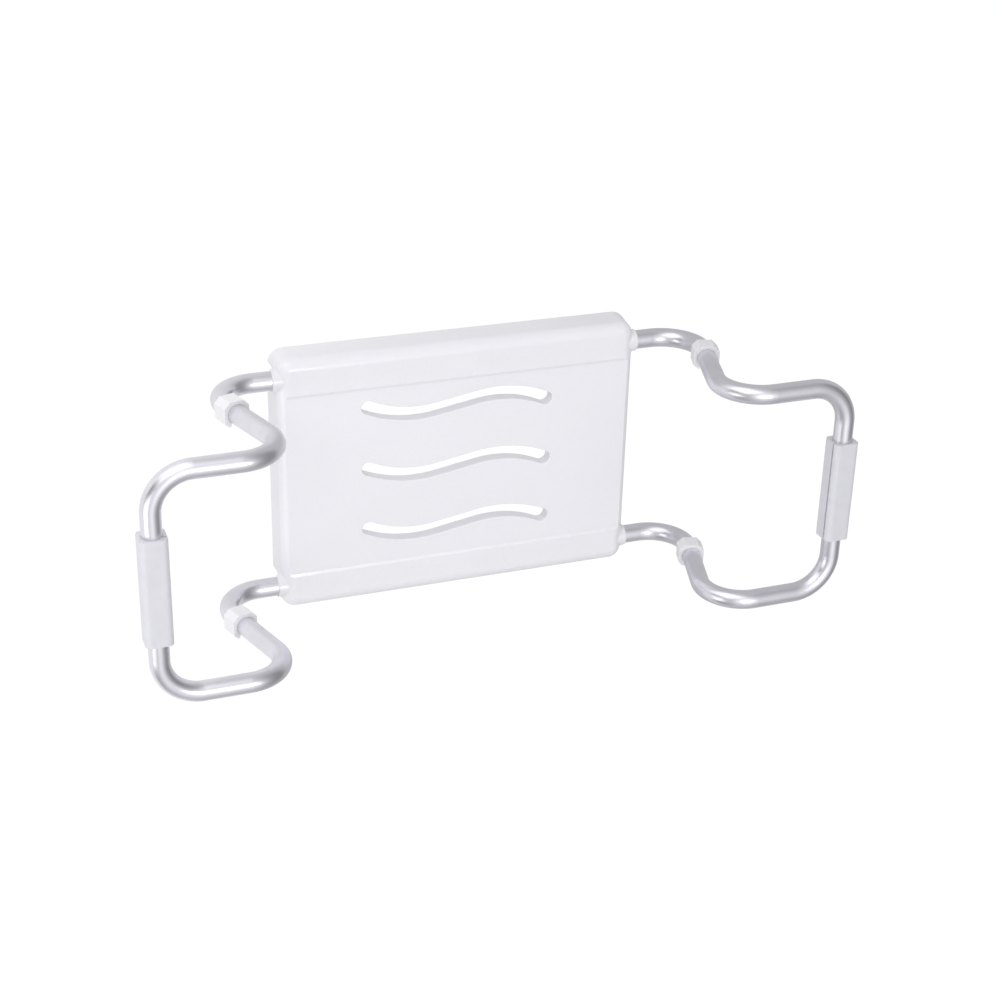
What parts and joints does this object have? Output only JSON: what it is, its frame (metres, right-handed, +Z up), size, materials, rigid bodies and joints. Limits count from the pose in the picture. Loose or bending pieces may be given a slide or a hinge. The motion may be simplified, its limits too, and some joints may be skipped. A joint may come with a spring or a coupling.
{
  "type": "bath seat",
  "caption": "Hanging bath seat: a white moulded board with wave slots on sliding bent aluminium frames that rest on a tub's rims by soft sleeves.",
  "frame": {"origin": "under the middle of the seat board, level with its lower edge", "axes": "+Z up, +X along the board across the tub to the right frame, +Y to the rear"},
  "size_m": [0.742, 0.286, 0.2165],
  "materials": {
    "seat_plastic": "glossy white moulded polypropylene",
    "tube_aluminium": "satin anodised tube",
    "sleeve_vinyl": "soft white vinyl, matt",
    "clip_plastic": "white moulded plastic, half gloss",
    "plug_plastic": "pale grey polyethylene",
    "strap_plastic": "white moulded nylon",
    "knob_plastic": "pale moulded nylon",
    "screw_steel": "stainless steel",
    "stud_steel": "stainless steel",
    "insert_brass": "turned brass"
  },
  "bodies": {
    "seat": {"seat_board": "seat_plastic", "strap_screws": "screw_steel", "lock_inserts": "insert_brass", "left_front_clamp_strap": "strap_plastic", "left_rear_clamp_strap": "strap_plastic", "right_front_clamp_strap": "strap_plastic", "right_rear_clamp_strap": "strap_plastic"},
    "left_frame": {"left_frame_tube": "tube_aluminium", "left_rim_sleeve": "sleeve_vinyl", "left_front_bumper_clip": "clip_plastic", "left_front_leg_plug": "plug_plastic", "left_rear_bumper_clip": "clip_plastic", "left_rear_leg_plug": "plug_plastic"},
    "left_front_lock": {"left_front_lock_knob": "knob_plastic", "left_front_lock_stud": "stud_steel"},
    "left_rear_lock": {"left_rear_lock_knob": "knob_plastic", "left_rear_lock_stud": "stud_steel"},
    "right_frame": {"right_frame_tube": "tube_aluminium", "right_rim_sleeve": "sleeve_vinyl", "right_front_bumper_clip": "clip_plastic", "right_front_leg_plug": "plug_plastic", "right_rear_bumper_clip": "clip_plastic", "right_rear_leg_plug": "plug_plastic"},
    "right_front_lock": {"right_front_lock_knob": "knob_plastic", "right_front_lock_stud": "stud_steel"},
    "right_rear_lock": {"right_rear_lock_knob": "knob_plastic", "right_rear_lock_stud": "stud_steel"}
  },
  "joints": [
    {"name": "left_frame_slide", "type": "slide", "parent": "seat", "child": "left_frame", "axis": [-1, 0, 0], "range_m": [-0.012, 0.035]},
    {"name": "left_front_lock_turn", "type": "hinge", "parent": "seat", "child": "left_front_lock", "pos_m": [-0.15, -0.11685, 0.004], "axis": [0, 0, -1], "range_deg": [0, 360]},
    {"name": "left_rear_lock_turn", "type": "hinge", "parent": "seat", "child": "left_rear_lock", "pos_m": [-0.15, 0.11685, 0.004], "axis": [0, 0, -1], "range_deg": [0, 360]},
    {"name": "right_frame_slide", "type": "slide", "parent": "seat", "child": "right_frame", "axis": [1, 0, 0], "range_m": [-0.012, 0.035]},
    {"name": "right_front_lock_turn", "type": "hinge", "parent": "seat", "child": "right_front_lock", "pos_m": [0.15, -0.11685, 0.004], "axis": [0, 0, -1], "range_deg": [0, 360]},
    {"name": "right_rear_lock_turn", "type": "hinge", "parent": "seat", "child": "right_rear_lock", "pos_m": [0.15, 0.11685, 0.004], "axis": [0, 0, -1], "range_deg": [0, 360]}
  ]
}
